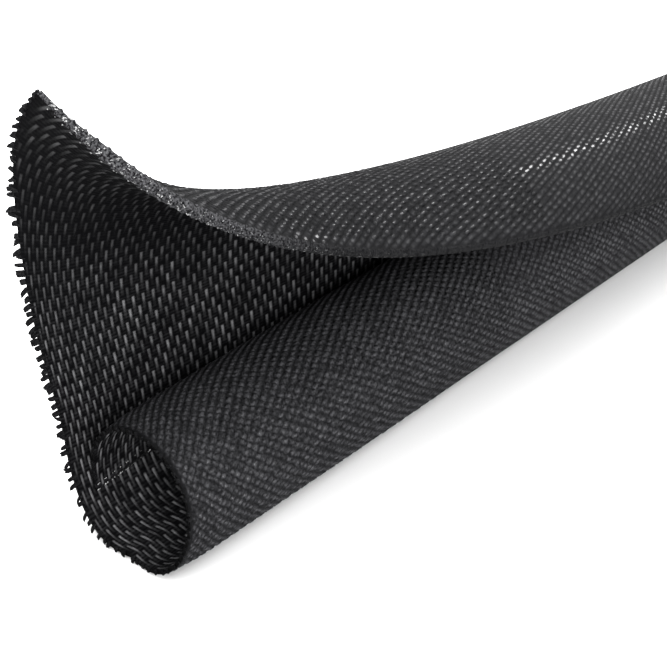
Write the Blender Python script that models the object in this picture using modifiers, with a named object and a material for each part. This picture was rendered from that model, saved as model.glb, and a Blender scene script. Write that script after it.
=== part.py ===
"""Split, self-wrapping woven cable sleeve: one woven sheet that curls around itself into a tube.

Lengths are in millimetres until the mesh is made, which is in metres. +X runs along the sleeve from its
opened end, +Y is the side on which the opened flap stands, and +Z is up. The origin is at the middle of
the sleeve's length, on the narrow flat that it lies on.

The sheet is drawn one section at a time. Each section is a curve whose bending is known at every
distance across the sheet, so the sheet keeps its width while its flap closes along the sleeve.
"""

import math

import bpy

for old in list(bpy.data.objects):
    bpy.data.objects.remove(old)

# The cut piece.
SLEEVE_LENGTH = 1000.0
ROLL_WIDTH = 38.5  # of the sheet, from the inner selvage to the middle of the flat
FLAP_WIDTH = 62.5  # of the sheet, from the middle of the flat to the outer selvage
FABRIC_THICKNESS = 1.0
LAYER_GAP = 0.4  # clear space left between two layers

# The closed section: a roll that lies on a narrow flat, and a flap that steps out and wraps around it.
OPENED_ROLL_RADIUS = 8.25  # outside radius of the inner turn at the opened end
CLOSED_ROLL_RADIUS = 11.25  # the same where the sleeve is closed
STEP_OUT_ANGLE = 1.5  # radians of turn in which the flap moves out by one layer
FLAT_HALF_WIDTH = 2.5

# The flap at the opened end, from the middle of the flat towards the outer selvage.
FLOOR_RUN = 3.13
BEND_RUN = 15.52
BEND_RADIUS = 7.54
STANDING_RADIUS = 109.9
TIP_RADIUS = 16.9
TIP_RUN = 15.8
EASE_RUN = 3.0  # over which one bending passes into the next

# How the opened shape dies away along the sleeve: each fades by 1/e over its run, to its own power.
ROLL_GROWS_OVER = 82.6
ROLL_POWER = 0.94
FOOT_CLOSES_OVER = 220.3
FOOT_POWER = 1.25
TIP_CLOSES_OVER = 28.65
TIP_POWER = 0.77

# How far the parts of the cut end stand forward or back along the sleeve.
FLAP_SET_BACK = -17.2  # at the outer selvage, growing evenly from the flat
CORNER_SET_BACK = 7.26  # added towards the outer selvage as a square
ROLL_SET_BACK = -3.99  # at the inner selvage
BELLY_SET_BACK = -5.41  # beside the flat
BELLY_RUN = 12.0
SET_BACK_FADES_OVER = 334.8
SELVAGE_HOLLOW = -6.62  # the outer selvage draws back most at HOLLOW_AT from the cut
HOLLOW_AT = 25.1

# The mesh.
ROLL_COLUMNS = 20
FLAP_COLUMNS = 32
SUBSTEPS = 4
OPENED_STATIONS = 17
OPENED_RUN = 110.0
CLOSING_STATIONS = 13
CLOSING_RUN = 560.0


def smooth(value):
    value = min(max(value, 0.0), 1.0)
    return value * value * (3.0 - 2.0 * value)


def across():
    """Distances from the middle of the flat at which a section is worked out, with a column at each flat edge."""
    edges = [-ROLL_WIDTH, -FLAT_HALF_WIDTH, 0.0, FLAT_HALF_WIDTH, FLAP_WIDTH]
    columns = [ROLL_COLUMNS, 1, 1, FLAP_COLUMNS]
    runs = [edges[0]]
    for low, high, count in zip(edges, edges[1:], columns):
        steps = count * SUBSTEPS
        runs += [low + (high - low) * (i + 1) / steps for i in range(steps)]
    return runs


def closed_curvatures(runs, radius):
    """Bending of the closed section, from a circle whose radius grows by one layer after the flat."""
    inner = radius - 0.5 * FABRIC_THICKNESS
    step = FABRIC_THICKNESS + LAYER_GAP
    middle = runs.index(0.0)
    found = [0.0] * len(runs)
    for direction, order in ((1, range(middle, len(runs))), (-1, range(middle, -1, -1))):
        angle = 0.0
        last = 0.0
        for j in order:
            for _ in range(10):
                share = min(max(angle / STEP_OUT_ANGLE, 0.0), 1.0)
                reach = inner + step * smooth(share)
                slope = step * 6.0 * share * (1.0 - share) / STEP_OUT_ANGLE
                angle += 0.1 * (runs[j] - last) / math.hypot(reach, slope)
            last = runs[j]
            share = min(max(angle / STEP_OUT_ANGLE, 0.0), 1.0)
            reach = inner + step * smooth(share)
            slope = step * 6.0 * share * (1.0 - share) / STEP_OUT_ANGLE
            inside = 0.0 < share < 1.0
            turn = step * (6.0 - 12.0 * share) / STEP_OUT_ANGLE**2 if inside else 0.0
            off = abs(runs[j])
            flat = 0.0 if off < FLAT_HALF_WIDTH else 1.5 if off < 3.0 * FLAT_HALF_WIDTH else 1.0
            found[j] = flat * (reach * reach + 2.0 * slope * slope - reach * turn) / math.hypot(reach, slope) ** 3
    return found


def opened_curvature(run):
    bend = smooth((run - FLOOR_RUN) / EASE_RUN + 0.5)
    stand = smooth(0.5 * (run - BEND_RUN) / EASE_RUN + 0.5)
    tip = smooth(1.5 * (run - (FLAP_WIDTH - TIP_RUN)) / TIP_RUN)
    upright = (1.0 - tip) / STANDING_RADIUS + tip / TIP_RADIUS
    return bend * (1.0 - stand) / BEND_RADIUS + stand * upright


def fading(along, run, power):
    return math.exp(-((along / run) ** power))


def section(along, runs, opened_roll, closed_roll):
    """The middle line of the section at a distance along the sleeve, as (x, y, z)."""
    foot_open = fading(along, FOOT_CLOSES_OVER, FOOT_POWER)
    tip_open = fading(along, TIP_CLOSES_OVER, TIP_POWER)
    grown = 1.0 - fading(along, ROLL_GROWS_OVER, ROLL_POWER)
    curvatures = []
    for run, near, far in zip(runs, opened_roll, closed_roll):
        curve = near + grown * (far - near)
        tip = smooth((run - BEND_RUN) / (FLAP_WIDTH - BEND_RUN))
        opened = (foot_open * (1.0 - tip) + tip_open * tip) * smooth(run / EASE_RUN)
        curvatures.append(curve + opened * (opened_curvature(run) - curve))
    middle = runs.index(0.0)
    headings = [0.0] * len(runs)
    ys = [0.0] * len(runs)
    zs = [0.5 * FABRIC_THICKNESS] * len(runs)
    for direction, order in ((1, range(middle + 1, len(runs))), (-1, range(middle - 1, -1, -1))):
        for j in order:
            before = j - direction
            step = runs[j] - runs[before]
            headings[j] = headings[before] + 0.5 * (curvatures[j] + curvatures[before]) * step
            mean = 0.5 * (headings[j] + headings[before])
            ys[j] = ys[before] + step * math.cos(mean)
            zs[j] = zs[before] + step * math.sin(mean)
    fade = math.exp(-along / SET_BACK_FADES_OVER)
    hollow = SELVAGE_HOLLOW * along / HOLLOW_AT * math.exp(1.0 - along / HOLLOW_AT)
    points = []
    for run, y, z in zip(runs, ys, zs):
        share = max(run, 0.0) / FLAP_WIDTH
        flap = FLAP_SET_BACK * share + CORNER_SET_BACK * share * share
        roll = ROLL_SET_BACK * max(-run, 0.0) / ROLL_WIDTH
        belly = BELLY_SET_BACK * math.exp(-((run / BELLY_RUN) ** 2))
        points.append((along + fade * (flap + roll + belly) + hollow * share * share, y, z))
    return points


def stations():
    """Distances along the sleeve: close together at the opened end, then wider, and one at the far end."""
    found = [OPENED_RUN * (i / OPENED_STATIONS) ** 1.6 for i in range(OPENED_STATIONS)]
    for i in range(CLOSING_STATIONS + 1):
        found.append(OPENED_RUN + (CLOSING_RUN - OPENED_RUN) * (i / CLOSING_STATIONS) ** 1.3)
    return found + [0.5 * (CLOSING_RUN + SLEEVE_LENGTH), SLEEVE_LENGTH]


def build_sheet():
    runs = across()
    opened_roll = closed_curvatures(runs, OPENED_ROLL_RADIUS)
    closed_roll = closed_curvatures(runs, CLOSED_ROLL_RADIUS)
    rows = [section(along, runs, opened_roll, closed_roll)[::SUBSTEPS] for along in stations()]
    count = len(rows[0])
    vertices = [(0.001 * (x - 0.5 * SLEEVE_LENGTH), 0.001 * y, 0.001 * z) for row in rows for x, y, z in row]
    faces = []
    for r in range(len(rows) - 1):
        for j in range(count - 1):
            corner = r * count + j
            faces.append((corner, corner + count, corner + count + 1, corner + 1))
    mesh = bpy.data.meshes.new("woven_sleeve")
    mesh.from_pydata(vertices, [], faces)
    mesh.update()
    sleeve = bpy.data.objects.new("woven_sleeve", mesh)
    thick = sleeve.modifiers.new("fabric thickness", "SOLIDIFY")
    thick.thickness = 0.001 * FABRIC_THICKNESS
    thick.offset = 0.0
    thick.use_even_offset = True
    return sleeve


collection = bpy.data.collections.new("braided_cable_sleeve")
bpy.context.scene.collection.children.link(collection)
sleeve = build_sheet()
collection.objects.link(sleeve)
fabric = bpy.data.materials.new("black_woven_polyester")
fabric.diffuse_color = (0.03, 0.03, 0.033, 1.0)
sleeve.data.materials.append(fabric)
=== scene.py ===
# %% [markdown]
# # A split woven cable sleeve
#
# The real object is a strip of black polyester cloth that was heat-set into a curl, so it closes around a
# bundle of cables by itself. One end is peeled open: a flap stands up, and the other selvage stays rolled.
#
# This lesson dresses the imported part. It draws the same curled sheet as the part's source, much more
# finely, and then gives it what makes cloth look woven: floats, ridges, selvage loops and cut yarns.
#
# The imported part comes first. It is the frame that every piece has to fit.

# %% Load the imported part
import math

import bpy
import numpy as np
from mathutils import Matrix, Vector


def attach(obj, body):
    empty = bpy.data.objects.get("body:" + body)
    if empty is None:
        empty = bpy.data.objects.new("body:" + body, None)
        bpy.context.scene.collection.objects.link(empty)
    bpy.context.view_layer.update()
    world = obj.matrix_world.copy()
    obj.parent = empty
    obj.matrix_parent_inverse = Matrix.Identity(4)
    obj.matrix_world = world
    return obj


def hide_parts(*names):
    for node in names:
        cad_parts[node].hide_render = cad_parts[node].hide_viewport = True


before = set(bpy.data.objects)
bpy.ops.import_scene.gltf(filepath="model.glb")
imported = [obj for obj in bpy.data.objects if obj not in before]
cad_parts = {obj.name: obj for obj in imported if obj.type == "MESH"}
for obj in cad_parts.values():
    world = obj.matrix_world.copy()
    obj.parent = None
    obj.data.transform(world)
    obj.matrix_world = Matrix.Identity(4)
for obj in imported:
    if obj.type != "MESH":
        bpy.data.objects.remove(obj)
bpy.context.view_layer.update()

# %% [markdown]
# ## The sizes of the sheet
#
# Lengths here are in millimetres, as in the part's source, and become metres when a mesh is made. A point
# of the cloth has two numbers: `along` runs from the opened end, and `run` goes across the sheet from the
# middle of the flat it lies on. The inner selvage is at the negative end, and the raised flap's selvage is
# at the positive end.

# %% The same named sizes as the part's source
SLEEVE_LENGTH = 1000.0
ROLL_WIDTH = 38.5
FLAP_WIDTH = 62.5
FABRIC_THICKNESS = 1.0
LAYER_GAP = 0.4

OPENED_ROLL_RADIUS = 8.25
CLOSED_ROLL_RADIUS = 11.25
STEP_OUT_ANGLE = 1.5
FLAT_HALF_WIDTH = 2.5

FLOOR_RUN = 3.13
BEND_RUN = 15.52
BEND_RADIUS = 7.54
STANDING_RADIUS = 109.9
TIP_RADIUS = 16.9
TIP_RUN = 15.8
EASE_RUN = 3.0

ROLL_GROWS_OVER = 82.6
ROLL_POWER = 0.94
FOOT_CLOSES_OVER = 220.3
FOOT_POWER = 1.25
TIP_CLOSES_OVER = 28.65
TIP_POWER = 0.77

FLAP_SET_BACK = -17.2
CORNER_SET_BACK = 7.26
ROLL_SET_BACK = -3.99
BELLY_SET_BACK = -5.41
BELLY_RUN = 12.0
SET_BACK_FADES_OVER = 334.8
SELVAGE_HOLLOW = -6.62
HOLLOW_AT = 25.1

ROLL_COLUMNS = 20
FLAP_COLUMNS = 32
SUBSTEPS = 4
TURN_STEPS = 10  # small steps in which a turn is added up from one point to the next

SHEET_WIDTH = ROLL_WIDTH + FLAP_WIDTH
print("the cut strip is", SLEEVE_LENGTH, "by", SHEET_WIDTH, "mm")

# %% [markdown]
# ## One section of the curl
#
# A sheet that bends without stretching is best described by how sharply it curves at each point across
# it. Adding those bends up gives its heading, and adding up steps along that heading gives its shape. The
# sheet then keeps its width by itself, however far it is opened.
#
# The closed curve is a circle that steps out by one layer just after the flat. The opened curve is a
# tight bend at the foot of the flap, a nearly straight wall, and a rounder tip. Each part of the opened
# curve fades into the closed one at its own pace along the sleeve.


# %% How sharply the closed sheet bends
def smooth(value):
    value = np.clip(value, 0.0, 1.0)
    return value * value * (3.0 - 2.0 * value)


def across():
    """Distances from the middle of the flat, with a column at each of its edges."""
    edges = [-ROLL_WIDTH, -FLAT_HALF_WIDTH, 0.0, FLAT_HALF_WIDTH, FLAP_WIDTH]
    columns = [ROLL_COLUMNS, 1, 1, FLAP_COLUMNS]
    runs = [edges[0]]
    for low, high, count in zip(edges, edges[1:], columns):
        steps = count * SUBSTEPS
        runs += [low + (high - low) * (i + 1) / steps for i in range(steps)]
    return runs


def stepped_out(angle, inner, step):
    """The share of the step that is made after a turn, the distance from the middle, and its slope."""
    share = min(max(angle / STEP_OUT_ANGLE, 0.0), 1.0)
    reach = inner + step * share * share * (3.0 - 2.0 * share)
    slope = step * 6.0 * share * (1.0 - share) / STEP_OUT_ANGLE
    return share, reach, slope


def closed_curvatures(runs, radius):
    """Bending of a circle that grows by one layer after the flat, and bends more just beside the flat."""
    inner = radius - 0.5 * FABRIC_THICKNESS
    step = FABRIC_THICKNESS + LAYER_GAP
    middle = runs.index(0.0)
    found = [0.0] * len(runs)
    for order in (range(middle, len(runs)), range(middle, -1, -1)):
        angle = 0.0
        last = 0.0
        for j in order:
            for _ in range(TURN_STEPS):
                _, reach, slope = stepped_out(angle, inner, step)
                angle += 1.0 / TURN_STEPS * (runs[j] - last) / math.hypot(reach, slope)
            last = runs[j]
            share, reach, slope = stepped_out(angle, inner, step)
            turn = step * (6.0 - 12.0 * share) / STEP_OUT_ANGLE**2 if 0.0 < share < 1.0 else 0.0
            off = abs(runs[j])
            flat = 0.0 if off < FLAT_HALF_WIDTH else 1.5 if off < 3.0 * FLAT_HALF_WIDTH else 1.0
            bend = reach * reach + 2.0 * slope * slope - reach * turn
            found[j] = flat * bend / math.hypot(reach, slope) ** 3
    return np.array(found)


RUN_LIST = across()
RUNS = np.array(RUN_LIST)
MIDDLE = RUN_LIST.index(0.0)
OPENED_ROLL = closed_curvatures(RUN_LIST, OPENED_ROLL_RADIUS)
CLOSED_ROLL = closed_curvatures(RUN_LIST, CLOSED_ROLL_RADIUS)
print("a section is drawn through", len(RUNS), "points")


# %% How sharply the opened sheet bends, and a whole section
def opened_curvatures():
    bend = smooth((RUNS - FLOOR_RUN) / EASE_RUN + 0.5)
    stand = smooth(0.5 * (RUNS - BEND_RUN) / EASE_RUN + 0.5)
    tip = smooth(1.5 * (RUNS - (FLAP_WIDTH - TIP_RUN)) / TIP_RUN)
    upright = (1.0 - tip) / STANDING_RADIUS + tip / TIP_RADIUS
    return bend * (1.0 - stand) / BEND_RADIUS + stand * upright


def fading(along, run, power):
    return math.exp(-((along / run) ** power))


def section(along):
    """The middle line of the sheet at a distance along the sleeve, as rows of x, y and z."""
    foot_open = fading(along, FOOT_CLOSES_OVER, FOOT_POWER)
    tip_open = fading(along, TIP_CLOSES_OVER, TIP_POWER)
    grown = 1.0 - fading(along, ROLL_GROWS_OVER, ROLL_POWER)
    curve = OPENED_ROLL + grown * (CLOSED_ROLL - OPENED_ROLL)
    tip = smooth((RUNS - BEND_RUN) / (FLAP_WIDTH - BEND_RUN))
    opened = (foot_open * (1.0 - tip) + tip_open * tip) * smooth(RUNS / EASE_RUN)
    curve = curve + opened * (opened_curvatures() - curve)
    steps = np.diff(RUNS)
    heading = np.concatenate([[0.0], np.cumsum(0.5 * (curve[1:] + curve[:-1]) * steps)])
    heading -= heading[MIDDLE]
    mean = 0.5 * (heading[1:] + heading[:-1])
    y = np.concatenate([[0.0], np.cumsum(steps * np.cos(mean))])
    z = np.concatenate([[0.0], np.cumsum(steps * np.sin(mean))])
    fade = math.exp(-along / SET_BACK_FADES_OVER)
    hollow = SELVAGE_HOLLOW * along / HOLLOW_AT * math.exp(1.0 - along / HOLLOW_AT)
    share = np.maximum(RUNS, 0.0) / FLAP_WIDTH
    flap = FLAP_SET_BACK * share + CORNER_SET_BACK * share * share
    roll = ROLL_SET_BACK * np.maximum(-RUNS, 0.0) / ROLL_WIDTH
    belly = BELLY_SET_BACK * np.exp(-((RUNS / BELLY_RUN) ** 2))
    x = along + fade * (flap + roll + belly) + hollow * share * share - 0.5 * SLEEVE_LENGTH
    return np.stack([x, y - y[MIDDLE], z - z[MIDDLE] + 0.5 * FABRIC_THICKNESS], 1)


print("the peak of the flap is", round(float(section(0.0)[:, 2].max()), 1), "mm up")

# %% [markdown]
# ## The camera
#
# The camera stands about a hand's breadth from the opened end and looks along the sleeve from above its
# cut edge. That closeness is why the far end looks so much smaller. Its place was worked out from the
# outlines of the cut end, the flap and the roll: the names below say where the middle of the flat's cut
# edge falls in a square picture, in pixels, and how large a millimetre is there.

# %% Camera
PICTURE = 667
CAMERA_DOWN = math.radians(31.121)
CAMERA_TURN = math.radians(42.947)
FOCAL_PIXELS = 929.875
ANCHOR_X, ANCHOR_Y = 172.2, 533.3
PIXELS_PER_MM = 9.2

sight = Vector((
    math.cos(CAMERA_DOWN) * math.cos(CAMERA_TURN),
    math.cos(CAMERA_DOWN) * math.sin(CAMERA_TURN),
    -math.sin(CAMERA_DOWN),
))
right = Vector((math.sin(CAMERA_TURN), -math.cos(CAMERA_TURN), 0.0))
up = right.cross(sight)
anchor_depth = FOCAL_PIXELS / PIXELS_PER_MM
to_right = (ANCHOR_X - 0.5 * PICTURE) / PIXELS_PER_MM
to_up = (0.5 * PICTURE - ANCHOR_Y) / PIXELS_PER_MM
anchor = Vector((-0.5 * SLEEVE_LENGTH, 0.0, 0.0))
eye = (anchor - to_right * right - to_up * up - anchor_depth * sight) * 0.001

camera_data = bpy.data.cameras.new("camera")
camera_data.sensor_width = 36.0
camera_data.lens = 36.0 * FOCAL_PIXELS / PICTURE
camera_data.clip_start = 0.001
camera = bpy.data.objects.new("camera", camera_data)
bpy.context.scene.collection.objects.link(camera)
camera.matrix_world = Matrix.Translation(eye) @ Matrix((right, up, -sight)).transposed().to_4x4()
bpy.context.scene.camera = camera
print("the camera stands", round(1000 * (eye - 0.001 * anchor).length), "mm from the cut end")

# %% [markdown]
# ## The floor, the sky and two lamps
#
# The sleeve lies on white, in soft light from all round. A sky that is brighter overhead than at the
# horizon gives that light, and leaves a narrow dark line where the sleeve touches the floor. Two soft area
# lamps add the shine on the threads: a strip above the middle of the sleeve, and a panel beside the camera.
# Light linking keeps them to the sleeve, because on the floor they would wash that dark line out.
#
# The floor and the lamps are in metres, as everything in the scene is.

# %% Floor
FLOOR_REACH = 6.0
FLOOR_WHITE = (0.8, 0.8, 0.8, 1.0)

floor_corners = [(x * FLOOR_REACH, y * FLOOR_REACH, 0.0) for x, y in ((-1, -1), (1, -1), (1, 1), (-1, 1))]
floor_mesh = bpy.data.meshes.new("floor")
floor_mesh.from_pydata(floor_corners, [], [(0, 1, 2, 3)])
floor = bpy.data.objects.new("floor", floor_mesh)
bpy.context.scene.collection.objects.link(floor)
floor_paint = bpy.data.materials.new("white_table")
floor_paint.use_nodes = True
floor_shader = floor_paint.node_tree.nodes["Principled BSDF"]
floor_shader.inputs["Base Color"].default_value = FLOOR_WHITE
floor_shader.inputs["Roughness"].default_value = 0.9
floor_mesh.materials.append(floor_paint)
print("the floor reaches", FLOOR_REACH, "m to each side")

# %% Sky
SKY_LOW = 1.0  # strength at the horizon
SKY_HIGH = 4.6  # strength overhead

sky = bpy.data.worlds.new("studio")
bpy.context.scene.world = sky
sky.use_nodes = True
sky_nodes = sky.node_tree.nodes
whither = sky_nodes.new("ShaderNodeTexCoord")
parts = sky_nodes.new("ShaderNodeSeparateXYZ")
ramp = sky_nodes.new("ShaderNodeMapRange")
ramp.inputs["To Min"].default_value = SKY_LOW
ramp.inputs["To Max"].default_value = SKY_HIGH
sky.node_tree.links.new(whither.outputs["Generated"], parts.inputs[0])
sky.node_tree.links.new(parts.outputs["Z"], ramp.inputs["Value"])
sky.node_tree.links.new(ramp.outputs["Result"], sky_nodes["Background"].inputs["Strength"])
sky_nodes["Background"].inputs["Color"].default_value = (1.0, 1.0, 1.0, 1.0)
bpy.context.scene.view_settings.view_transform = "Standard"
print("the sky is", SKY_HIGH / SKY_LOW, "times as bright overhead as at the horizon")

# %% Lamps
LAMPS_AIM_AT = Vector((-0.44, 0.0, 0.015))
sleeve_pieces = bpy.data.collections.new("sleeve_pieces")


def lamp(name, toward, distance, wide, tall, power):
    """A rectangular area lamp in a direction from the opened end, which lights the sleeve alone."""
    data = bpy.data.lights.new(name, "AREA")
    data.shape = "RECTANGLE"
    data.size = wide
    data.size_y = tall
    data.energy = power
    lit = bpy.data.objects.new(name, data)
    bpy.context.scene.collection.objects.link(lit)
    lit.location = LAMPS_AIM_AT + distance * Vector(toward).normalized()
    lit.rotation_euler = (LAMPS_AIM_AT - lit.location).to_track_quat("-Z", "Y").to_euler()
    lit.visible_camera = False
    lit.light_linking.receiver_collection = sleeve_pieces
    print(name, "lamp:", power, "W from", tuple(round(value, 2) for value in lit.location))


lamp("strip", (0.69, 0.097, 0.72), 0.5, 0.045, 0.5, 3.0)
lamp("front", (-0.52, -0.74, 0.42), 0.6, 0.3, 0.3, 7.5)

# %% [markdown]
# ## Shader maths that reads like maths
#
# A material in Blender is a graph of nodes. Writing `ridge * 0.6 + grain` is easier to read than four
# nodes and six links, so one small class stands for a socket and adds Math nodes when it is added to or
# multiplied. Any other node comes from one method, which takes the node's type, its settings and what
# goes into its sockets.


# %% The socket class
class Signal:
    """A value in a material: a node's output socket, with arithmetic."""

    def __init__(self, tree, socket=None):
        self.tree = tree
        self.socket = socket

    def node(self, kind, settings, sockets, output=0):
        made = self.tree.nodes.new(kind)
        for name, value in settings.items():
            if name == "stops":
                while len(made.color_ramp.elements) < len(value):
                    made.color_ramp.elements.new(1.0)
                for stop, (place, colour) in zip(made.color_ramp.elements, value):
                    stop.position = place
                    stop.color = colour
            else:
                setattr(made, name, value)
        for name, value in sockets.items():
            if isinstance(value, Signal):
                self.tree.links.new(value.socket, made.inputs[name])
            else:
                made.inputs[name].default_value = value
        return Signal(self.tree, made.outputs[output])

    def maths(self, operation, *values):
        return self.node("ShaderNodeMath", {"operation": operation}, dict(enumerate(values)))

    def __add__(self, other):
        return self.maths("ADD", self, other)

    def __radd__(self, other):
        return self.maths("ADD", other, self)

    def __sub__(self, other):
        return self.maths("SUBTRACT", self, other)

    def __rsub__(self, other):
        return self.maths("SUBTRACT", other, self)

    def __mul__(self, other):
        return self.maths("MULTIPLY", self, other)

    def __rmul__(self, other):
        return self.maths("MULTIPLY", other, self)

    def wave(self):
        """1 at whole numbers and 0 halfway between them."""
        return 0.5 + 0.5 * self.maths("COSINE", self * (2.0 * math.pi))

    def apart(self):
        """The distance from the nearest whole number, from 0 to 0.5."""
        return self.maths("ABSOLUTE", self - self.maths("ROUND", self))

    def step(self, low, high):
        """0 below low, 1 above high, and a smooth rise between; low may be the larger one."""
        sockets = {"Value": self, "From Min": low, "From Max": high}
        return self.node("ShaderNodeMapRange", {"interpolation_type": "SMOOTHSTEP"}, sockets)

    def larger(self, other):
        """The larger of two values."""
        return self.maths("MAXIMUM", self, other)


def between(amount, first, second):
    """A colour that goes from the first to the second as the amount goes from 0 to 1."""
    settings = {"data_type": "RGBA", "clamp_factor": True}
    return amount.node("ShaderNodeMix", settings, {0: amount, 6: first, 7: second}, output=2)


def finish(name, colour, roughness, height, relief, coat=0.0, **plain):
    """Ends a material: its Principled shader, with a bump of that relief in metres."""
    tree = colour.tree
    shader = tree.nodes["Principled BSDF"]
    bump = colour.node("ShaderNodeBump", {}, {"Strength": 1.0, "Distance": relief, "Height": height})
    varying = {"Base Color": colour, "Roughness": roughness, "Coat Weight": coat, "Normal": bump}
    for title, value in varying.items():
        if isinstance(value, Signal):
            tree.links.new(value.socket, shader.inputs[title])
        else:
            shader.inputs[title].default_value = value
    for title, value in plain.items():
        shader.inputs[title.replace("_", " ")].default_value = value
    print("finished", name)


def new_material(name):
    """A material with an empty signal, from which its first nodes are made."""
    material = bpy.data.materials.new(name)
    material.use_nodes = True
    return material, Signal(material.node_tree)


# %% [markdown]
# ## The weave as two counts
#
# The pattern isn't painted by millimetres but by counting threads. `weft_count` goes up by one for each
# repeat along the sleeve, and `warp_count` for each repeat across it. The wefts were pushed closer
# together where the end was cut and peeled open. On the flap they lean back, but hardly at the cut itself,
# where they follow its edge. So the counts are a smooth bend of the cloth's own coordinates. They are kept
# on the mesh as a UV map.

# %% Thread counts
WEFT_REPEAT = 1.75
WEFT_CROWDING = 0.95
CROWDED_OVER = 17.0
WARP_REPEAT = 0.98
INNER_FLOAT_REPEAT = 3.5
YARN_PITCH = 0.51
LEAN = 0.73
LEAN_FROM_RUN = 44.0
LEAN_EASE = 8.0
OTHER_WAY_AT_CUT = 0.22  # the share of that lean by which they lean the other way at the cut
LEAN_TURNS_AT = 5.0
LEAN_GROWS_OVER = 34.0


def thread_counts(along, run):
    """The weft and warp counts at places on the sheet, for arrays of both."""
    grown = smooth((along - LEAN_TURNS_AT) / LEAN_GROWS_OVER)
    held = (1.0 + OTHER_WAY_AT_CUT) * grown - OTHER_WAY_AT_CUT
    lean = LEAN * held * np.logaddexp(0.0, (run - LEAN_FROM_RUN) / LEAN_EASE) * LEAN_EASE
    place = along + lean
    packed = WEFT_REPEAT - WEFT_CROWDING * np.exp(-place / CROWDED_OVER)
    first = WEFT_REPEAT - WEFT_CROWDING
    weft = (place + CROWDED_OVER * np.log(packed / first)) / WEFT_REPEAT
    return weft, run / WARP_REPEAT


print("repeats in the first 100 mm:", round(float(thread_counts(np.array(100.0), np.array(0.0))[0]), 1))

# %% [markdown]
# ## The outer face
#
# From outside the cloth is a twill. Small crowns of yarn stand in slanting rows, where the sum of the two
# counts is a whole number, and the difference of the counts tells one crown of a row from the next. On the
# raised flap, and again near the inner selvage, the crowns run together into ridges. Between those places,
# on the roll, they stand apart.
#
# The yarn is matt and charcoal. A thin coat on the tops of the crowns stands for the monofilament that
# crosses them, so they glint only where the cloth turns towards a lamp, as on the real sleeve.

# %% Reading the cloth's own maps
def cloth_maps(signal):
    """The weft and warp counts, and the distances along and across the sheet in millimetres."""
    found = []
    for title in ("thread_counts", "cloth_place"):
        read = signal.node("ShaderNodeUVMap", {"uv_map": title}, {})
        parted = signal.node("ShaderNodeSeparateXYZ", {}, {0: read})
        found += [Signal(signal.tree, socket) for socket in parted.socket.node.outputs[:2]]
    return found


def object_place(signal):
    """The place of a point on its object, in metres."""
    return signal.node("ShaderNodeTexCoord", {}, {}, output=3)


def noise(signal, place, scale, detail=2.0):
    return signal.node("ShaderNodeTexNoise", {}, {"Vector": place, "Scale": scale, "Detail": detail})


def joined(signal, first, second):
    """Two numbers as a vector, for a texture that follows the weave."""
    return signal.node("ShaderNodeCombineXYZ", {}, {0: first, 1: second})


print("the materials read two of the cloth's maps, with two numbers each")


# %% Outer weave: its rows and crowns
outer_weave, signal = new_material("outer_weave")
weft, warp, along, across_sheet = cloth_maps(signal)
place = object_place(signal)
clouds = noise(signal, place, 160.0)
ragged = noise(signal, place, 1500.0, 1.0)
lumpy = noise(signal, place, 1100.0, 1.0).step(0.25, 0.75)
grain = noise(signal, place, 3600.0, 1.0).step(0.3, 0.7)
on_flap = across_sheet.step(0.0, 30.0)
rows_show = on_flap.larger(across_sheet.step(-14.0, -24.0))

row = weft + warp + 0.34 * (ragged - 0.5)
place_in_row = weft - warp + 0.3 * (lumpy - 0.5)
fibres = noise(signal, joined(signal, row * 7.0, place_in_row * 1.8), 1.0)
groove = row.apart() * 2.0
gap = place_in_row.apart() * 2.0
over_the_row = 1.0 - (0.5 + 0.45 * rows_show) * groove * groove
along_the_row = 1.0 - (0.8 - 0.4 * rows_show) * gap * gap
crown = over_the_row * along_the_row
print("the rows and crowns take", len(outer_weave.node_tree.nodes), "nodes")

# %% Outer weave: its colour and finish
# The outer colour carries painted light and shade: the crown tops are painted lighter and the grooves between
# them darker, over the yarn's own fibres, grain and random tone.
SHADED_YARN = (0.002, 0.002, 0.0022, 1.0)
LIT_YARN = (0.025, 0.025, 0.0268, 1.0)
OUTER_RELIEF = 0.00011

woven = along.step(0.15, 0.6)
inside = (FLAP_WIDTH - across_sheet).step(0.1, 0.5)
tight = woven * (0.35 + 0.65 * inside)
glint = crown.step(0.75, 0.98) * tight * lumpy.step(0.1, 0.7)
height = crown * tight + 0.3 * fibres
grainy = 1.0 + (grain - 0.5) * (1.1 - 0.7 * on_flap)
# lit_crown is the painted light on the crown tops; the grooves keep the painted shade.
lit_crown = crown * (0.55 + 0.45 * crown)
shade = (
    (0.06 + 0.94 * lit_crown * tight) * (0.1 + 1.8 * fibres) * (0.65 + 0.7 * lumpy)
    * (0.75 + 0.5 * clouds) * grainy
)
# The roll is painted lighter than the flap: painted light in place of the light that the raised flap keeps
# off the roll.
painted_roll_light = 0.74 - 0.42 * on_flap
finish(
    "outer_weave", between(painted_roll_light * shade, SHADED_YARN, LIT_YARN), 0.75 - 0.2 * glint,
    height, OUTER_RELIEF, coat=glint * 0.2, Specular_IOR_Level=0.02, Coat_Roughness=0.16,
)

# %% [markdown]
# ## The inner face
#
# The inner face shows the wefts instead. Each weft floats over a few warps, as a grey dash, dives under,
# and comes back up. Neighbouring wefts are half a repeat apart. Each dash has a random brightness of its
# own, and a painted highlight towards its upper end. The ground between them is the cloth's own near-black,
# with painted shade in the hollows between the warp yarns, and painted shade darkens the whole face towards
# the tip of the flap, where the flap shades itself.

# %% Inner weave: its noise and its dashes
inner_weave, signal = new_material("inner_weave")
weft, warp, along, across_sheet = cloth_maps(signal)
place = object_place(signal)
fibres = noise(signal, place, 5200.0)
ragged = noise(signal, place, 700.0, 1.0)
lumpy = noise(signal, place, 900.0, 1.0).step(0.25, 0.75)
floats = warp * (WARP_REPEAT / INNER_FLOAT_REPEAT) + 0.08 * (ragged - 0.5)


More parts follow.
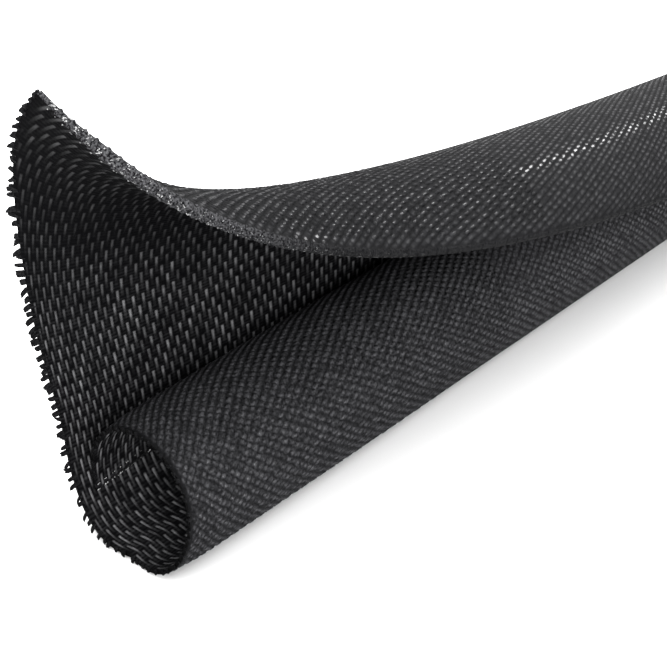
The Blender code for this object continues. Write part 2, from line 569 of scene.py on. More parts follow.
def dash(shift):
    """One of the two sets of floats: narrow across, long along the weft, with a painted highlight at the
    upper end.
    """
    wide = (weft + shift).apart()
    turned = floats + shift
    whole = turned.maths("ROUND", turned)
    along_it = turned - whole
    which = joined(signal, weft.maths("ROUND", weft + shift), whole)
    own = signal.node("ShaderNodeTexWhiteNoise", {}, {"Vector": which})
    # lit: a painted highlight towards the upper end of each dash, times a random brightness of its own.
    lit = (0.12 + 0.88 * along_it.step(-0.2, 0.32)) * (0.35 + 0.65 * own)
    return wide.step(0.2, 0.05) * along_it.step(-0.44, -0.25) * along_it.step(0.42, 0.34) * lit


dashes = dash(0.0).larger(dash(0.5)) * along.step(0.1, 0.5)
print("the dashes take", len(inner_weave.node_tree.nodes), "nodes")

# %% Inner weave: its colour and finish
# The ground is the cloth's own near-black with random tone; the deep ground colour adds painted shade in the
# hollows between the warp yarns.
DEEP_GROUND = (0.0012, 0.0012, 0.0014, 1.0)
RAISED_GROUND = (0.0125, 0.0125, 0.0133, 1.0)
DASH_GREY = (0.1, 0.1, 0.103, 1.0)
INNER_RELIEF = 0.00008

ends = (warp * (WARP_REPEAT / YARN_PITCH)).wave()
height = 0.9 * dashes + 0.3 * ends * (1.0 - dashes) + 0.3 * fibres
# tip is painted shade: it darkens the inner ground and dashes towards the tip of the flap, where the flap
# shades itself.
tip = 1.0 - 0.8 * across_sheet.step(28.0, 46.0)
ground = between(ends * fibres * lumpy * tip, DEEP_GROUND, RAISED_GROUND)
finish(
    "inner_weave", between(dashes * (0.45 + 0.55 * lumpy) * tip, ground, DASH_GREY), 0.75 - 0.3 * dashes,
    height, INNER_RELIEF, coat=dashes * 0.12, Specular_IOR_Level=0.01, Coat_Roughness=0.3,
)

# %% [markdown]
# ## Filament and cut yarn
#
# Two plainer finishes go with the weave. The monofilament is a smooth, dark plastic wire, and its turns
# come to the surface on the selvages; its pale streaks are a painted glint. The cut yarn is a matt bundle of
# very fine black fibres, for the cut ends and the rims. It is painted paler along the outer selvage near the
# opened end, as a painted sheen on that rim.

# %% Filament and yarn materials
# The pale streaks on the wire are a painted glint, over its own dark colour.
DARK_WIRE, GLINT_PAINTED_WIRE = (0.05, 0.05, 0.051, 1.0), (0.2, 0.2, 0.2, 1.0)
DEEP_FIBRE, PLAIN_STRAND_FIBRE = (0.002, 0.002, 0.0023, 1.0), (0.008, 0.008, 0.0084, 1.0)
# The paler rim fibre is a painted sheen on the outer selvage near the opened end.
SHEEN_PAINTED_FIBRE = (0.045, 0.045, 0.0475, 1.0)

filament, signal = new_material("monofilament")
streaks = noise(signal, object_place(signal), 900.0)
colour = between(streaks.step(0.35, 0.65), DARK_WIRE, GLINT_PAINTED_WIRE)
finish("monofilament", colour, 0.22, streaks, 0.00003, Specular_IOR_Level=0.4)

cut_yarn, signal = new_material("cut_yarn")
along, across_sheet = cloth_maps(signal)[2:]
strands = noise(signal, object_place(signal), 6000.0, 3.0)
# A painted sheen: the outer selvage is painted paler near the opened end.
painted_rim_sheen = across_sheet.step(60.0, 62.0) * along.step(26.0, 8.0)
colour = between(strands.step(0.35, 0.7), DEEP_FIBRE, between(painted_rim_sheen, PLAIN_STRAND_FIBRE, SHEEN_PAINTED_FIBRE))
finish("cut_yarn", colour, 0.6, strands, 0.0001, Specular_IOR_Level=0.02)

# %% [markdown]
# ## The sheet in ten lengths
#
# The whole sheet is one surface, worked out at many rows along the sleeve. It is kept as ten meshes of
# equal length, end to end, which share their edge rows exactly. Each then has a painted map of its own
# in a model viewer, because one map of the whole metre would blur the threads.
#
# Each row is a closed loop: across the outer face, round the selvage, back along the inner face and round
# the other selvage. Joining the loops makes a closed skin with rounded edges.

# %% Rows, columns and the surface itself
LENGTHS = 10
LENGTH_OF_ONE = SLEEVE_LENGTH / LENGTHS
ROWS_IN = [110, 80] + [40] * (LENGTHS - 2)
EVERY = [1] + [2] * (LENGTHS - 1)  # columns: all of them in the first length, every other one after it
CREEP = 1.25  # how much the first length's rows crowd towards the cut
LOOK_AHEAD = 0.2


def rows_of(which):
    """Distances along the sleeve of one length's rows."""
    share = np.linspace(0.0, 1.0, ROWS_IN[which] + 1)
    if which == 0:
        share = share**CREEP
    return LENGTH_OF_ONE * (which + share)


def surface(alongs):
    """Points, outward normals and directions across, for each row and column."""
    points = np.array([section(along) for along in alongs])
    ahead = np.array([section(along + LOOK_AHEAD) for along in alongs])
    across_it = np.gradient(points, RUNS, axis=1)
    across_it /= np.linalg.norm(across_it, axis=2, keepdims=True)
    outward = np.cross(across_it, ahead - points)
    outward /= np.linalg.norm(outward, axis=2, keepdims=True)
    return points, outward, across_it


print("the outer face looks down at the flat:", surface([500.0])[1][0, MIDDLE].round(2))

# %% [markdown]
# ## Building one length
#
# The mesh also carries three UV maps. The materials read two of them: `thread_counts` holds the two
# counts, and `cloth_place` the distances along and across. The third lays the outer and the inner face out
# flat, one above the other, with thin strips for the edges, and a model viewer paints the finished
# materials on it.
#
# The normals are handed over from the surface itself, so the shading runs on across the joints.


# %% A helper that gathers faces with their corners' maps
class Cloth:
    """Collects points, faces, materials, maps and normals, and makes one mesh of them."""

    def __init__(self):
        self.points = []
        self.normals = []
        self.faces = []
        self.slots = []
        self.counts = []
        self.flat = []
        self.size = 0

    def add_points(self, points, normals):
        first = self.size
        self.points.append(np.asarray(points, float).reshape(-1, 3))
        self.normals.append(np.asarray(normals, float).reshape(-1, 3))
        self.size += len(self.points[-1])
        return first

    def add_faces(self, faces, slot, counts, flat):
        """Quads or triangles as an array of corners, with their maps per corner.

        counts holds four numbers: the weft and warp counts, and the distances along and across.
        """
        self.faces.append(np.asarray(faces, int))
        self.slots.append(np.full(len(faces), slot))
        self.counts.append(np.asarray(counts, float).reshape(-1, 4))
        self.flat.append(np.asarray(flat, float).reshape(-1, 2))

    def build(self, name, materials):
        points = np.concatenate(self.points)
        faces = [tuple(int(c) for c in face) for group in self.faces for face in group]
        mesh = bpy.data.meshes.new(name)
        mesh.from_pydata((0.001 * points).tolist(), [], faces)
        mesh.polygons.foreach_set("material_index", np.concatenate(self.slots).astype(np.int32))
        flat, counts = np.concatenate(self.flat), np.concatenate(self.counts)
        maps = {"OFBake": flat, "thread_counts": counts[:, :2], "cloth_place": counts[:, 2:]}
        for title, values in maps.items():
            layer = mesh.uv_layers.new(name=title)
            layer.uv.foreach_set("vector", values.astype(np.float32).ravel())
        mesh.shade_smooth()
        for material in materials:
            mesh.materials.append(material)
        normals = np.concatenate(self.normals)
        normals /= np.linalg.norm(normals, axis=1, keepdims=True)
        at_corners = normals[np.concatenate([group.ravel() for group in self.faces])]
        mesh.normals_split_custom_set(at_corners.tolist())
        drawn = np.empty(3 * len(mesh.polygons), np.float32)
        mesh.polygons.foreach_get("normal", drawn)
        first_corners = np.cumsum([0] + [len(face) for face in faces[:-1]])
        agree = np.einsum("ij,ij->i", drawn.reshape(-1, 3), at_corners[first_corners]) > 0.0
        print(name, "has", len(faces), "faces,", round(100.0 * float(agree.mean()), 1), "% face outwards")
        made = bpy.data.objects.new(name, mesh)
        bpy.context.scene.collection.objects.link(made)
        sleeve_pieces.objects.link(made)
        return made


# %% [markdown]
# ## The skin
#
# A row of the skin is a closed loop of points, and quads join each loop to the next. The same few helpers
# serve both faces, both selvages and both ends. The cloth thins out over the last few millimetres before a
# cut, so that the cut yarns hide its edge.

# %% Small helpers for the skin
OUTER, INNER, RIM, WIRE = range(4)  # the material slots of a piece
HALF = 0.5 * FABRIC_THICKNESS
THIN_AT_CUT = 0.45
THINS_OVER = 4.0
ROUND_STEPS = 4
ROUND_ANGLES = np.linspace(0.0, math.pi, ROUND_STEPS + 1)[1:-1]
HALF_RIM = len(ROUND_ANGLES)


def half_at(along):
    """Half the cloth's thickness, which is less just before a cut."""
    to_cut = np.minimum(along, SLEEVE_LENGTH - along)
    return HALF * (THIN_AT_CUT + (1.0 - THIN_AT_CUT) * smooth(np.asarray(to_cut) / THINS_OVER))


def grid_faces(first, rows, loop, starts):
    """Quads between neighbouring rows of closed loops, for the loop places in starts."""
    row = first + loop * np.arange(rows - 1)[:, None]
    here = starts[None, :]
    after = (starts[None, :] + 1) % loop
    return np.stack([row + here, row + after, row + loop + after, row + loop + here], -1).reshape(-1, 4)


def corner_values(grid):
    """The values at the four corners of a grid's quads, in the order of grid_faces."""
    corners = [grid[:-1, :-1], grid[:-1, 1:], grid[1:, 1:], grid[1:, :-1]]
    return np.stack(corners, 2).reshape(-1, grid.shape[2])


def rounded(points, outward, away, half):
    """Columns of points and of normals that go round a selvage, from one face to the other."""
    turned = [math.cos(angle) * outward + math.sin(angle) * away for angle in ROUND_ANGLES]
    return [(points + half * way)[:, None] for way in turned], [way[:, None] for way in turned]


print("each selvage is rounded with", HALF_RIM, "points")

# %% Where things lie on the map that viewers paint
MAP_MARGIN = 0.005
MAP_WIDTH = 0.94
MAP_HEIGHT = 0.475
OUTER_LEVEL, INNER_LEVEL = 0.005, 0.505
SELVAGE_STRIPS = 0.955, 0.972
STRIP_WIDTH = 0.012
NEAR_END_LEVEL, FAR_END_LEVEL = 0.985, 0.483
END_STRIP_HEIGHT = 0.01
KNUCKLE_SPOT, STRAND_SPOT = (0.988, 0.2), (0.5, 0.5)
WIRE_SPOT = [[0.988, 0.6], [0.992, 0.6], [0.99, 0.61]]


def flat_place(share, run, level):
    """Sideways by the distance across the sheet, and up by the share of the length."""
    sideways = MAP_MARGIN + MAP_WIDTH * (run + ROLL_WIDTH) / SHEET_WIDTH
    return np.stack([sideways, level + MAP_HEIGHT * share], -1)


print("the inner face starts at", INNER_LEVEL, "of the map's height")


# %% The cut end of a length
def add_end(cloth, base, loop, sideways, counts, level, turned):
    """Closes the loop that starts at base, with quads between its faces and a fan at each selvage."""
    here = np.arange(len(sideways) - 1)
    there = loop - HALF_RIM - 1 - here
    quads = np.stack([base + here, base + here + 1, base + there - 1, base + there], -1)
    bottom = np.stack([sideways, np.full_like(sideways, level)], -1)
    top = bottom + (0.0, END_STRIP_HEIGHT)
    flat = np.stack([bottom[:-1], bottom[1:], top[1:], top[:-1]], 1)
    ends = np.stack([counts[:-1], counts[1:], counts[1:], counts[:-1]], 1)
    if turned:
        quads, flat, ends = quads[:, ::-1], flat[:, ::-1], ends[:, ::-1]
    cloth.add_faces(quads, RIM, ends, flat)
    for corner in (len(sideways) - 1, loop - HALF_RIM - 1):
        fan = [base + (corner + k) % loop for k in range(HALF_RIM + 2)]
        faces = [(fan[0], fan[k], fan[k + 1]) for k in range(1, HALF_RIM + 1)]
        faces = np.array([face[::-1] for face in faces] if turned else faces)
        spot = np.tile([[0.99, level], [0.994, level], [0.992, level + 0.004]], (len(faces), 1))
        cloth.add_faces(faces, RIM, np.tile(counts[0], (3 * len(faces), 1)), spot)


print("a cut end is closed with a row of quads and", 2 * HALF_RIM, "triangles")


# %% The skin of one length
def add_skin(cloth, which):
    alongs = rows_of(which)
    picked = np.arange(0, len(RUNS), EVERY[which])
    points, outward, across_it = (values[:, picked] for values in surface(alongs))
    rows, columns = len(alongs), len(picked)
    half = half_at(alongs)[:, None, None]
    last_rim = rounded(points[:, -1], outward[:, -1], across_it[:, -1], half[:, 0])
    first_rim = rounded(points[:, 0], -outward[:, 0], -across_it[:, 0], half[:, 0])
    outer = points + half * outward
    inner = points - half * outward
    loop_points = np.concatenate([outer] + last_rim[0] + [inner[:, ::-1]] + first_rim[0], 1)
    loop_normals = np.concatenate([outward] + last_rim[1] + [-outward[:, ::-1]] + first_rim[1], 1)
    loop = loop_points.shape[1]
    first = cloth.add_points(loop_points, loop_normals)

    along_grid, run_grid = np.meshgrid(alongs, RUNS[picked], indexing="ij")
    counts = np.stack([*thread_counts(along_grid, run_grid), along_grid, run_grid], -1)
    share = (along_grid - alongs[0]) / LENGTH_OF_ONE
    low, high = (flat_place(share, run_grid, level) for level in (OUTER_LEVEL, INNER_LEVEL))
    back = columns + HALF_RIM
    here = np.arange(columns - 1)
    cloth.add_faces(grid_faces(first, rows, loop, here), OUTER, corner_values(counts), corner_values(low))
    cloth.add_faces(
        grid_faces(first, rows, loop, back + here), INNER,
        corner_values(counts[:, ::-1]), corner_values(high[:, ::-1]),
    )
    wide = HALF_RIM + 2
    for start, edge, left in zip((columns - 1, back + columns - 1), (-1, 0), SELVAGE_STRIPS):
        side = left + STRIP_WIDTH * np.linspace(0.0, 1.0, wide)[None, :].repeat(rows, 0)
        rising = (MAP_MARGIN + 0.98 * share[:, :1]).repeat(wide, 1)
        cloth.add_faces(
            grid_faces(first, rows, loop, (start + np.arange(wide - 1)) % loop), RIM,
            corner_values(counts[:, [edge]].repeat(wide, 1)), corner_values(np.stack([side, rising], -1)),
        )
    for row, level, turned in ((0, NEAR_END_LEVEL, True), (rows - 1, FAR_END_LEVEL, False)):
        add_end(cloth, first + row * loop, loop, low[row, :, 0], counts[row], level, turned)


print("the first two rows are", round(float(rows_of(0)[1]), 2), "mm apart")

# %% [markdown]
# ## Threads that stand up
#
# Near the opened end both faces are in full view, so the threads on them are real there: small lens-shaped
# bodies, each where the material paints one. Inside they are the long floats of the wefts, and outside the
# short crowns of yarn, apart from the flat underneath, which lies on the floor. To place them, the counts
# are turned round: for a given weft and warp count, where on the sheet is that?

# %% Look-up of places on the sheet
class CloseLook:
    """A fine grid over a part of the sheet, which gives points, outward normals and directions across."""

    def __init__(self, low, high, step=0.25):
        self.low, self.step = low, step
        self.alongs = np.arange(low, high + step, step)
        self.grids = surface(np.clip(self.alongs, 0.0, SLEEVE_LENGTH))

    def at(self, along, run):
        row = np.clip((along - self.low) / self.step, 0.0, len(self.alongs) - 1.001)
        column = np.clip(np.interp(run, RUNS, np.arange(len(RUNS))), 0.0, len(RUNS) - 1.001)
        i, j = row.astype(int), column.astype(int)
        a, b = (row - i)[:, None], (column - j)[:, None]
        found = []
        for grid in self.grids:
            near = grid[i, j] * (1.0 - b) + grid[i, j + 1] * b
            far = grid[i + 1, j] * (1.0 - b) + grid[i + 1, j + 1] * b
            found.append(near * (1.0 - a) + far * a)
        return found


LOOKED_UP = 1500


def wefts_between(low, high, run, shift):
    """Where the wefts with whole counts, plus a shift, lie between two distances along the sleeve."""
    alongs = np.linspace(low, high, LOOKED_UP)
    counts = thread_counts(alongs, np.full_like(alongs, run))[0]
    first, last = math.ceil(counts[0] - shift), math.floor(counts[-1] - shift)
    return np.interp(np.arange(first, last + 1) + shift, counts, alongs)


def half_drop(low, high, repeat, first_run, last_run):
    """Places on the sheet in rows that lie half a repeat apart, each row shifted by half a weft."""
    found = []
    for half in range(math.ceil(2.0 * first_run / repeat), math.floor(2.0 * last_run / repeat) + 1):
        run = 0.5 * half * repeat
        found += [(along, run) for along in wefts_between(low, high, run, 0.5 * (half % 2))]
    return np.array(found)


opened_end = CloseLook(0.0, 112.0)
far_end = CloseLook(SLEEVE_LENGTH - 14.0, SLEEVE_LENGTH)
print("the fine grid of the opened end has", len(opened_end.alongs), "rows")

# %% A helper that lays a lens-shaped body on each place
LENS_FACES = np.array([
    (0, 1, 2), (0, 2, 3), (0, 3, 4), (0, 4, 1),
    (1, 5, 6), (1, 6, 2), (2, 6, 7), (2, 7, 3), (3, 7, 8), (3, 8, 4), (4, 8, 5), (4, 5, 1),
    (9, 6, 5), (9, 7, 6), (9, 8, 7), (9, 5, 8),
])
LENS_ALONG = np.array([-0.5, -0.26, -0.26, -0.26, -0.26, 0.26, 0.26, 0.26, 0.26, 0.5])
LENS_ASIDE = np.array([0.0, -0.5, 0.0, 0.5, 0.0, -0.5, 0.0, 0.5, 0.0, 0.0])
LENS_UP = np.array([-0.25, -0.15, 1.0, -0.15, -0.9, -0.15, 1.0, -0.15, -0.9, -0.25])


def add_lens_points(cloth, ground, ways, sizes):
    """A lens on each place, for its three directions and sizes: its first point, and its faces' corners."""
    spread = (LENS_ALONG, LENS_ASIDE, LENS_UP)
    facings = (0.7 * LENS_ALONG, 1.5 * LENS_ASIDE, 0.55 + 0.45 * LENS_UP)
    sizes = [np.broadcast_to(size, len(ground)) for size in sizes]
    offsets = sum(
        size[:, None, None] * part[None, :, None] * way[:, None]
        for size, part, way in zip(sizes, spread, ways)
    )
    normals = sum(part[None, :, None] * way[:, None] for part, way in zip(facings, ways))
    first = cloth.add_points(ground[:, None] + offsets, normals)
    corners = len(LENS_ALONG) * np.arange(len(ground))[:, None, None] + LENS_FACES[None]
    return first, corners.reshape(-1, 3)


def add_lenses(cloth, look, along, run, step_along, step_run, long, wide, rise, face, slot):
    """Lens bodies on one face (1 outer, -1 inner). Each points the way that the two steps give."""
    here, outward, _ = look.at(along, run)
    ahead = look.at(along + 0.5 * step_along, run + 0.5 * step_run)[0]
    behind = look.at(along - 0.5 * step_along, run - 0.5 * step_run)[0]
    lengthwise = ahead - behind
    lengthwise /= np.linalg.norm(lengthwise, axis=1, keepdims=True)
    up = face * outward
    aside = np.cross(up, lengthwise)
    aside /= np.linalg.norm(aside, axis=1, keepdims=True)
    ground = here + face * half_at(along)[:, None] * outward
    first, corners = add_lens_points(cloth, ground, (lengthwise, aside, up), (long, wide, rise))
    step = np.hypot(step_along, step_run)
    cosine, sine = (step_along / step)[:, None], (step_run / step)[:, None]
    forward, sideways = long[:, None] * LENS_ALONG, wide[:, None] * LENS_ASIDE * face
    along_at = along[:, None] + forward * cosine + sideways * sine
    run_at = run[:, None] + forward * sine - sideways * cosine
    maps = np.stack([*thread_counts(along_at, run_at), along_at, run_at], -1)
    maps = maps.reshape(-1, 4)[corners.ravel()]
    share = np.clip(maps[:, 2] / LENGTH_OF_ONE % 1.0, 0.0, 1.0)
    flat = flat_place(share, maps[:, 3], OUTER_LEVEL if face > 0 else INNER_LEVEL)
    cloth.add_faces(first + corners, slot, maps, flat)


print("a lens has", len(LENS_FACES), "faces")

# %% Floats on the inner face
FLOAT_LENGTH = 2.2
FLOAT_WIDTH = 0.44
FLOAT_RISE = 0.1


def weft_slopes(along, run):
    """How much the weft count grows in a millimetre across the sheet, and in one along it."""
    slant = thread_counts(along, run + 0.5)[0] - thread_counts(along, run - 0.5)[0]
    pace = thread_counts(along + 0.5, run)[0] - thread_counts(along - 0.5, run)[0]
    return slant, pace


def add_floats(cloth, look, low, high, chance):
    """Long floats, each along its weft, and thinner towards the tip of the flap."""
    places = half_drop(low + 0.3, high - 0.3, INNER_FLOAT_REPEAT, -ROLL_WIDTH + 1.4, FLAP_WIDTH - 1.8)
    along, run = places[:, 0], places[:, 1] + chance.normal(0.0, 0.1, len(places))
    slant, pace = weft_slopes(along, run)
    long = FLOAT_LENGTH * chance.uniform(0.85, 1.12, len(along))
    wide = FLOAT_WIDTH / pace**0.7 * chance.uniform(0.85, 1.15, len(along))
    wide *= 0.38 - 0.14 * smooth((run - 30.0) / 20.0)
    add_lenses(cloth, look, along, run, -slant / pace, np.ones_like(run), long, wide, FLOAT_RISE, -1, INNER)
    return len(along)


print("a float is about", FLOAT_LENGTH, "mm long")


# %% Crowns on the outer face
CROWN_RISE = 0.08
LEAST_RISE = 0.002
CROWNS_UNTIL = 52.0


def add_crowns(cloth, look, low, high, chance):
    """Short crowns that lie slantwise, and sink into the painted ones before the last of them."""
    places = half_drop(low + 0.4, high, WARP_REPEAT, -ROLL_WIDTH + 0.6, FLAP_WIDTH - 0.9)
    places = places[np.abs(places[:, 1]) > 2.0 * FLAT_HALF_WIDTH]
    along = places[:, 0] + chance.normal(0.0, 0.05, len(places))
    run = places[:, 1] + chance.normal(0.0, 0.04, len(places))
    slant, pace = weft_slopes(along, run)
    step_run = np.full_like(run, -0.5 * WARP_REPEAT)
    step_along = (0.5 - slant * step_run) / pace
    reach = np.hypot(step_along, step_run)
    long = 1.05 * reach * chance.uniform(0.85, 1.15, len(along))
    wide = 0.42 * WARP_REPEAT / pace / reach * chance.uniform(0.85, 1.15, len(along))
    sunk = smooth((along - 0.6 * high) / (0.4 * high))
    rise = CROWN_RISE * (1.0 - sunk) * chance.uniform(0.7, 1.3, len(along)) + LEAST_RISE
    add_lenses(cloth, look, along, run, step_along, step_run, long, wide, rise, 1, OUTER)
    return len(along)


print("the crowns reach", CROWNS_UNTIL, "mm from the cut, and stand up to about", CROWN_RISE, "mm proud")

# %% [markdown]
# ## Loops along the selvages
#
# A weft doesn't end at the edge of the cloth: it turns round the last warps and goes back in. Each repeat
# shows as a thick knuckle of yarn over the rim, which makes the outline scalloped. Turns of monofilament
# lie beside it. Only short bits of those come to the surface, and they catch the light near the cut, so
# they are drawn there alone.

# %% A helper for many closed tubes at once
TUBE_SIDES = 5


def add_tubes(cloth, paths, across_one, across_two, radii, slot, spot, places):
    """Closed tubes along paths, given as arrays of tube by point by axis, with a radius for each point.

    places holds each tube's distances along and across the sheet.
    """
    tubes, rings = paths.shape[:2]
    turn = np.linspace(0.0, 2.0 * math.pi, TUBE_SIDES, endpoint=False)[:, None]
    ring = np.cos(turn) * across_one[:, :, None] + np.sin(turn) * across_two[:, :, None]
    first = cloth.add_points(paths[:, :, None] + radii[:, :, None, None] * ring, ring)
    per_tube = rings * TUBE_SIDES
    base = first + per_tube * np.arange(tubes)[:, None, None]
    level = TUBE_SIDES * np.arange(rings - 1)[None, :, None]
    side = np.arange(TUBE_SIDES)[None, None, :]
    after = (side + 1) % TUBE_SIDES
    near, far = base + level, base + level + TUBE_SIDES
    quads = np.stack([near + side, near + after, far + after, far + side], -1).reshape(-1, 4)
    left, low = spot
    square = np.array([[left, low], [left + 0.004, low], [left + 0.004, low + 0.01], [left, low + 0.01]])
    counts = np.concatenate([np.zeros((tubes, 2)), places], 1)
    in_one = 4 * len(quads) // tubes
    cloth.add_faces(quads, slot, counts.repeat(in_one, 0), np.tile(square, (len(quads), 1)))
    start = first + per_tube * np.arange(tubes)
    for into, turned in ((0, True), (per_tube - TUBE_SIDES, False)):
        for k in range(1, TUBE_SIDES - 1):
            caps = start[:, None] + into + np.array((0, k + 1, k) if turned else (0, k, k + 1))
            cloth.add_faces(caps, slot, counts.repeat(3, 0), np.tile(square[:3], (tubes, 1)))
    return tubes


print("each tube has", TUBE_SIDES, "sides")


# %% Knuckles round a selvage
KNUCKLE = 0.22
KNUCKLE_RINGS = 7
KNUCKLE_REACH = 0.6 * math.pi  # how far it goes round to each side
SELVAGES = ((FLAP_WIDTH, -1), (-ROLL_WIDTH, 0))  # distance across the sheet, and column


def at_selvage(alongs, column):
    """Points on a selvage, with the directions outward, across the sheet and away from its edge."""
    points, outward, across_it = (values[:, column] for values in surface(alongs))
    return points, outward, across_it, across_it if column == -1 else -across_it


def add_knuckles(cloth, which, chance):
    low, high = LENGTH_OF_ONE * which, LENGTH_OF_ONE * (which + 1)
    turn = np.linspace(KNUCKLE_REACH, -KNUCKLE_REACH, KNUCKLE_RINGS)
    made = 0
    for edge_run, column in SELVAGES:
        middles = wefts_between(max(low, 0.3), min(high, SLEEVE_LENGTH - 0.3), edge_run, 0.0)
        alongs = middles + chance.normal(0.0, 0.06, len(middles))
        points, outward, across_it, away = at_selvage(alongs, column)
        proud = 0.3 + 0.7 * np.exp(-alongs / 25.0)
        wire = KNUCKLE * chance.uniform(0.8, 1.2, len(alongs))
        reach = (half_at(alongs) - wire + 0.12 * proud)[:, None, None]
        paths = points[:, None] + reach * (
            np.cos(turn)[None, :, None] * away[:, None] + np.sin(turn)[None, :, None] * outward[:, None]
        )
        headed = np.gradient(paths, axis=1)
        headed /= np.linalg.norm(headed, axis=2, keepdims=True)
        ahead = np.cross(across_it, outward)[:, None].repeat(KNUCKLE_RINGS, 1)
        side = np.cross(headed, ahead)
        side /= np.linalg.norm(side, axis=2, keepdims=True)
        places = np.stack([alongs, np.full_like(alongs, edge_run)], -1)
        radii = wire[:, None].repeat(KNUCKLE_RINGS, 1)
        made += add_tubes(cloth, paths, ahead, side, radii, RIM, KNUCKLE_SPOT, places)
    return made


print("a knuckle goes round", round(math.degrees(2.0 * KNUCKLE_REACH)), "degrees")


# %% Turns of monofilament that show on a selvage
TURNS_SHOWN = 11
TURNS_INSIDE = 2
TURN_SIZES = ((0.1, 0.27), (0.05, 0.11), (0.03, 0.09))  # least and most: length, width and height
TURNS_UNTIL = 34.0
BORDER_ANGLE, BORDER_INSET = -1.75, 0.4


def add_turns(cloth, chance):
    """Short bits of glossy wire, with pale streaks as a painted glint: at each repeat a cluster on the rim,
    and two at its inner border.
    """
    made = 0
    for edge_run, column in SELVAGES:
        middles = wefts_between(0.3, TURNS_UNTIL, edge_run, 0.5)
        inside = np.tile(np.arange(TURNS_SHOWN), len(middles)) < TURNS_INSIDE
        alongs = np.repeat(middles, TURNS_SHOWN) + chance.normal(0.0, 0.14, len(inside))
        count = len(alongs)
        points, outward, across_it, away = at_selvage(alongs, column)
        angle = np.where(inside, BORDER_ANGLE, chance.uniform(-1.2, 0.8, count))[:, None]
        up = np.cos(angle) * away + np.sin(angle) * outward
        ahead = np.cross(across_it, outward)
        slant = chance.normal(0.9, 0.4, count)[:, None]
        lengthwise = np.cos(slant) * ahead + np.sin(slant) * np.cross(up, ahead)
        inset = np.where(inside, BORDER_INSET, 0.0)[:, None]
        ground = points + half_at(alongs)[:, None] * up - inset * away
        less = 0.2 + 0.8 * np.exp(-((alongs / 13.0) ** 2))
        sizes = [less * chance.uniform(*limits, count) for limits in TURN_SIZES]
        first, corners = add_lens_points(cloth, ground, (lengthwise, np.cross(up, lengthwise), up), sizes)
        blank = np.tile([0.0, 0.0, 5.0, 0.0], (3 * len(corners), 1))
        cloth.add_faces(first + corners, WIRE, blank, np.tile(WIRE_SPOT, (len(corners), 1)))
        made += count
    return made


print("each repeat of a selvage shows", TURNS_SHOWN, "turns of wire")

# %% [markdown]
# ## Cut yarns
#
# Where the sleeve was cut, the warp yarns stick out past the last weft. They stand in small blunt tufts of
# fine black fibres, about one to each repeat across, and most of them hang a little. On the roll they are
# shorter. The tufts hide the straight cut, so the edge of the real sleeve looks feathered.

# %% Tufts of yarn on a cut end
TUFT_LENGTH = 0.62
TUFT_PITCH = 1.0
STRANDS = 8
STRAND_RADIUS = 0.135
STRAND_SHAPE = np.array([[-0.6, 1.0], [0.2, 1.1], [0.7, 1.1], [1.0, 0.75]])  # shares of length, and of radius
LOWEST_STRAND = 0.16


def strand_leans(mean, spread, tufts, chance):
    """A lean for each tuft, and a little more or less of it for each of its strands."""
    return (chance.normal(mean, spread, tufts)[:, None] + chance.normal(0.0, 0.05, (tufts, STRANDS))).ravel()


def add_tufts(cloth, look, along, way, chance):
    """Tufts on the cut end at that distance; way is -1 for the near end and 1 for the far one."""
    middles = np.arange(-ROLL_WIDTH + 0.4, FLAP_WIDTH - 0.1, TUFT_PITCH)
    middles = middles + chance.normal(0.0, 0.16, len(middles))
    tufts = len(middles)
    runs = middles[:, None] + 0.15 * chance.uniform(-1.0, 1.0, (tufts, STRANDS))
    runs = np.clip(runs.ravel(), -ROLL_WIDTH, FLAP_WIDTH)
    here, out, aside = look.at(np.full(len(runs), along), runs)
    forward = here - look.at(np.full(len(runs), along - 0.6 * way), runs)[0]
    forward /= np.linalg.norm(forward, axis=1, keepdims=True)
    long = TUFT_LENGTH * chance.uniform(0.7, 1.3, tufts) * (0.3 + 0.7 * smooth((middles + 5.0) / 20.0))
    long *= 1.0 - 0.6 * smooth((middles - FLAP_WIDTH + 5.0) / 4.0)
    long = (long[:, None] * chance.uniform(0.88, 1.05, (tufts, STRANDS))).ravel()[:, None, None]
    hang = strand_leans(-0.4, 0.3, tufts, chance)
    curl = strand_leans(0.1, 0.2, tufts, chance)
    base = here + 0.2 * chance.uniform(-1.0, 1.0, (len(runs), 1)) * out
    reach = STRAND_SHAPE[:, 0][None, :, None]
    bend = np.maximum(reach, 0.0) ** 1.4 * (hang[:, None] * aside + curl[:, None] * out)[:, None]
    paths = base[:, None] + long * (reach * forward[:, None] + bend)
    paths[:, :, 2] = np.maximum(paths[:, :, 2], LOWEST_STRAND)
    one, two = (axis[:, None].repeat(len(STRAND_SHAPE), 1) for axis in (-way * aside, out))
    radii = STRAND_RADIUS * STRAND_SHAPE[:, 1][None] * chance.uniform(0.8, 1.2, (len(runs), 1))
    places = np.stack([np.full_like(runs, along), np.zeros_like(runs)], -1)
    only_slot = 0
    return add_tubes(cloth, paths, one, two, radii, only_slot, STRAND_SPOT, places)


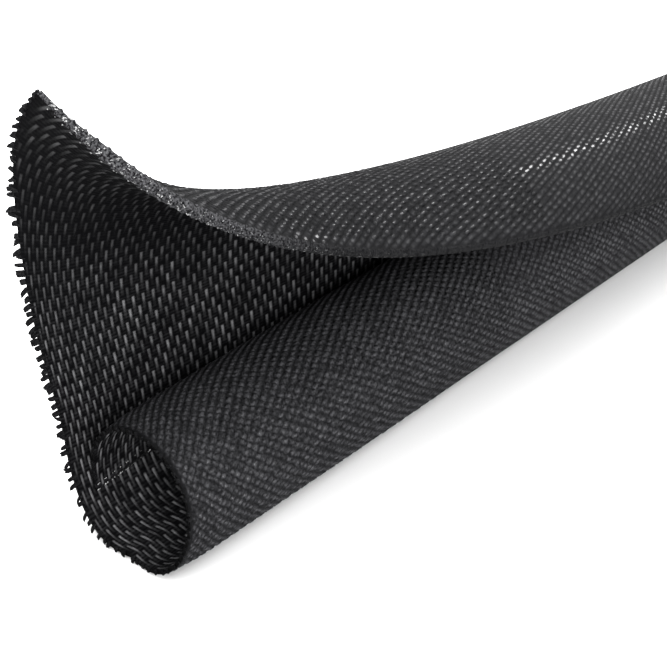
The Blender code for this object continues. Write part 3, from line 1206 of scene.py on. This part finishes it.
print("about", round(SHEET_WIDTH / TUFT_PITCH), "tufts stand on each cut end")

# %% [markdown]
# ## Making the pieces
#
# Everything is ready now. The random numbers come from one seeded source, so each run makes the same
# sleeve. The threads and the cut yarns are pieces of their own, because they are separate bodies that lie
# on the skin, and they go with the first or the last length.

# %% Make the lengths
sheet_materials = [outer_weave, inner_weave, cut_yarn, filament]
chance = np.random.default_rng(7)
lengths = []
rim_count = 0
for which in range(LENGTHS):
    cloth = Cloth()
    add_skin(cloth, which)
    rim_count += add_knuckles(cloth, which, chance)
    if which == 0:
        rim_count += add_turns(cloth, chance)
    lengths.append(cloth.build("woven_length_%02d" % (which + 1), sheet_materials))
print(len(lengths), "lengths with", rim_count, "knuckles and turns on their selvages")


# %% Make the threads and cut yarns
def gathered(name, materials, add, *where):
    """A piece that one of the helpers above fills; prints how many bodies that makes."""
    cloth = Cloth()
    print(add(cloth, *where, chance), "threads or strands:")
    return cloth.build(name, materials)


near_pieces = [
    gathered("inner_floats_opened_end", sheet_materials, add_floats, opened_end, 0.0, 100.0),
    gathered("outer_crowns_opened_end", sheet_materials, add_crowns, opened_end, 0.0, CROWNS_UNTIL),
    gathered("cut_yarns_opened_end", [cut_yarn], add_tufts, opened_end, 0.0, -1),
]
far_floats = (SLEEVE_LENGTH - 12.0, SLEEVE_LENGTH)
far_pieces = [
    gathered("inner_floats_far_end", sheet_materials, add_floats, far_end, *far_floats),
    gathered("cut_yarns_far_end", [cut_yarn], add_tufts, far_end, SLEEVE_LENGTH, 1),
]

# %% [markdown]
# ## Hanging the pieces on the part
#
# Every piece rides on the part's one body, and the plain solid that the pieces stand for is hidden.

for piece in lengths:
    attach(piece, "root")
    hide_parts("woven_sleeve")
    0.001 * LENGTH_OF_ONE
for piece in near_pieces + far_pieces:
    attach(piece, "root")
print(len(lengths) + len(near_pieces) + len(far_pieces), "pieces ride on the part")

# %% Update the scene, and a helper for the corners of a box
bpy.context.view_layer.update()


def plain(box):
    return [[float(value) for value in corner] for corner in box]
